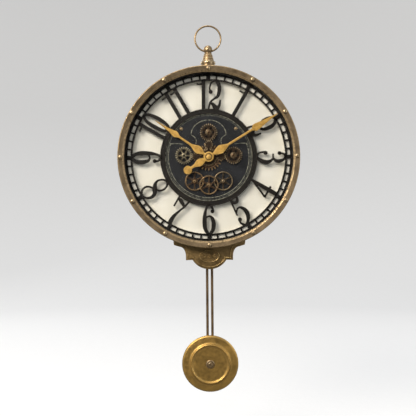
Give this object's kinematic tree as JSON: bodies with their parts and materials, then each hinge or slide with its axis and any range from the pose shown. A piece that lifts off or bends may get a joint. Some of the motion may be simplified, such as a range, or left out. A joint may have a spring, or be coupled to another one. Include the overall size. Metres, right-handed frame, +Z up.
{
  "type": "pendulum wall clock",
  "caption": "Round wall clock with a riveted bezel, skeleton dial over turning gears, bow ring on top and a two-rod pendulum with a stepped disc bob.",
  "frame": {"origin": "on the rear face of the keyhole hanger, on the land above its slot, 116 mm above the hands' axis", "axes": "+Z up, -Y out of the dial towards the viewer, +X to the right as seen from the front"},
  "size_m": [0.272, 0.0642, 0.566],
  "materials": {
    "case_bronze": "antique bronze paint, rubbed lighter on the edges",
    "apron_brass": "antique golden brown paint",
    "bright_brass": "antique brass, polished",
    "bush_brass": "turned brass",
    "clear_glass": "flat clear glass",
    "black_paint": "satin black paint",
    "disc_paint": "charcoal paint, worn to grey on the raised lines",
    "cream_paint": "aged ivory enamel",
    "gear_bronze": "dark bronze",
    "gear_red_bronze": "reddish bronze",
    "gear_pale": "pale antique brass",
    "hand_gold": "matte ochre gold paint",
    "black_plastic": "moulded black plastic",
    "battery_sleeve": "printed steel can, no text",
    "hanger_steel": "zinc plated steel",
    "magnet_steel": "nickel plated magnet",
    "bumper_rubber": "soft black rubber",
    "rod_bronze": "dark bronze lacquer",
    "bob_brass": "antique brass finish on pressed sheet"
  },
  "bodies": {
    "case": {"case_drum": "case_bronze", "bezel_ring": "case_bronze", "bezel_rivet_01": "bright_brass", "bezel_rivet_02": "bright_brass", "bezel_rivet_03": "bright_brass", "bezel_rivet_04": "bright_brass", "bezel_rivet_05": "bright_brass", "bezel_rivet_06": "bright_brass", "bezel_rivet_07": "bright_brass", "bezel_rivet_08": "bright_brass", "bezel_rivet_09": "bright_brass", "bezel_rivet_10": "bright_brass", "bezel_rivet_11": "bright_brass", "bezel_rivet_12": "bright_brass", "glass_lens": "clear_glass", "lens_spacer": "black_paint", "dial_panel": "cream_paint", "chapter_ring": "black_paint", "gear_disc": "disc_paint", "disc_screw_left": "bright_brass", "disc_screw_right": "bright_brass", "wall_hanger": "hanger_steel", "wall_bumper_left": "bumper_rubber", "wall_bumper_right": "bumper_rubber", "pendant": "bright_brass", "apron": "apron_brass", "movement_housing": "black_plastic", "movement_cover": "black_plastic", "aa_battery": "battery_sleeve", "bush_nut": "bush_brass", "gear_motor": "black_plastic", "idler_bridge": "gear_bronze"},
    "minute_hand_set": {"minute_hand": "hand_gold", "minute_arbor": "bush_brass", "hand_nut": "hand_gold"},
    "hour_hand_set": {"hour_hand": "hand_gold", "hour_pipe": "bush_brass"},
    "setting_knob": {"setting_knob": "black_plastic"},
    "pendulum": {"pendulum_leader": "black_plastic", "pendulum_magnet": "magnet_steel", "rod_bridge": "rod_bronze", "rod_left": "rod_bronze", "rod_right": "rod_bronze", "bob_front": "bob_brass", "bob_back": "bob_brass", "bob_screw": "bright_brass"},
    "hanging_ring": {"hanging_ring": "bright_brass"},
    "centre_gears": {"centre_wheel": "gear_red_bronze", "centre_pinion": "gear_bronze", "drive_wheel": "gear_pale"},
    "motor_pinion": {"motor_pinion": "gear_pale"},
    "idler_top": {"idler_top": "gear_bronze"},
    "wheel_top": {"wheel_top": "gear_bronze"},
    "idler_left": {"idler_left": "gear_bronze"},
    "wheel_left": {"wheel_left": "gear_pale"},
    "idler_right": {"idler_right": "gear_bronze"},
    "wheel_right": {"wheel_right": "gear_bronze"},
    "lower_wheel_left": {"lower_wheel_left": "gear_red_bronze"},
    "lower_wheel_middle": {"lower_wheel_middle": "gear_red_bronze"},
    "lower_wheel_right": {"lower_wheel_right": "gear_bronze"}
  },
  "joints": [
    {"name": "minute_turn", "type": "hinge", "parent": "case", "child": "minute_hand_set", "pos_m": [0, -0.052, -0.116], "axis": [0, 1, 0], "continuous": true},
    {"name": "hour_turn", "type": "hinge", "parent": "case", "child": "hour_hand_set", "pos_m": [0, -0.049, -0.116], "axis": [0, 1, 0], "continuous": true},
    {"name": "knob_turn", "type": "hinge", "parent": "case", "child": "setting_knob", "pos_m": [-0.016, -0.01, -0.112], "axis": [0, 1, 0], "continuous": true},
    {"name": "centre_turn", "type": "hinge", "parent": "case", "child": "centre_gears", "pos_m": [0, -0.045, -0.116], "axis": [0, 1, 0], "continuous": true},
    {"name": "motor_turn", "type": "hinge", "parent": "case", "child": "motor_pinion", "pos_m": [0, -0.04, -0.0782], "axis": [0, 1, 0], "continuous": true},
    {"name": "idler_top_turn", "type": "hinge", "parent": "case", "child": "idler_top", "pos_m": [0, -0.045, -0.09728], "axis": [0, 1, 0], "continuous": true},
    {"name": "wheel_top_turn", "type": "hinge", "parent": "case", "child": "wheel_top", "pos_m": [0, -0.045, -0.07856], "axis": [0, 1, 0], "continuous": true},
    {"name": "idler_left_turn", "type": "hinge", "parent": "case", "child": "idler_left", "pos_m": [-0.01867, -0.045, -0.11469], "axis": [0, 1, 0], "continuous": true},
    {"name": "wheel_left_turn", "type": "hinge", "parent": "case", "child": "wheel_left", "pos_m": [-0.03735, -0.045, -0.11339], "axis": [0, 1, 0], "continuous": true},
    {"name": "idler_right_turn", "type": "hinge", "parent": "case", "child": "idler_right", "pos_m": [0.01867, -0.045, -0.11469], "axis": [0, 1, 0], "continuous": true},
    {"name": "wheel_right_turn", "type": "hinge", "parent": "case", "child": "wheel_right", "pos_m": [0.03735, -0.045, -0.11339], "axis": [0, 1, 0], "continuous": true},
    {"name": "lower_left_turn", "type": "hinge", "parent": "case", "child": "lower_wheel_left", "pos_m": [-0.02163, -0.045, -0.152], "axis": [0, 1, 0], "continuous": true},
    {"name": "lower_middle_turn", "type": "hinge", "parent": "case", "child": "lower_wheel_middle", "pos_m": [0, -0.045, -0.158], "axis": [0, 1, 0], "continuous": true},
    {"name": "lower_right_turn", "type": "hinge", "parent": "case", "child": "lower_wheel_right", "pos_m": [0.02163, -0.045, -0.152], "axis": [0, 1, 0], "continuous": true},
    {"name": "pendulum_swing", "type": "hinge", "parent": "case", "child": "pendulum", "pos_m": [0, -0.0092, -0.124], "axis": [0, 1, 0], "range_deg": [-6, 6]},
    {"name": "ring_tilt", "type": "hinge", "parent": "case", "child": "hanging_ring", "pos_m": [0, -0.03, 0.0466], "axis": [1, 0, 0], "range_deg": [-45, 120]}
  ],
  "couplings": [
    {"joint": "hour_turn", "follows": "minute_turn", "ratio": 0.083333},
    {"joint": "knob_turn", "follows": "minute_turn", "ratio": -2},
    {"joint": "motor_turn", "follows": "centre_turn", "ratio": -5.75},
    {"joint": "idler_top_turn", "follows": "centre_turn", "ratio": -2},
    {"joint": "wheel_top_turn", "follows": "centre_turn", "ratio": 1},
    {"joint": "idler_left_turn", "follows": "centre_turn", "ratio": -2},
    {"joint": "wheel_left_turn", "follows": "centre_turn", "ratio": 1},
    {"joint": "idler_right_turn", "follows": "centre_turn", "ratio": -2},
    {"joint": "wheel_right_turn", "follows": "centre_turn", "ratio": 1},
    {"joint": "lower_left_turn", "follows": "centre_turn", "ratio": -3.2857},
    {"joint": "lower_middle_turn", "follows": "centre_turn", "ratio": -3.2857},
    {"joint": "lower_right_turn", "follows": "centre_turn", "ratio": -3.2857}
  ]
}
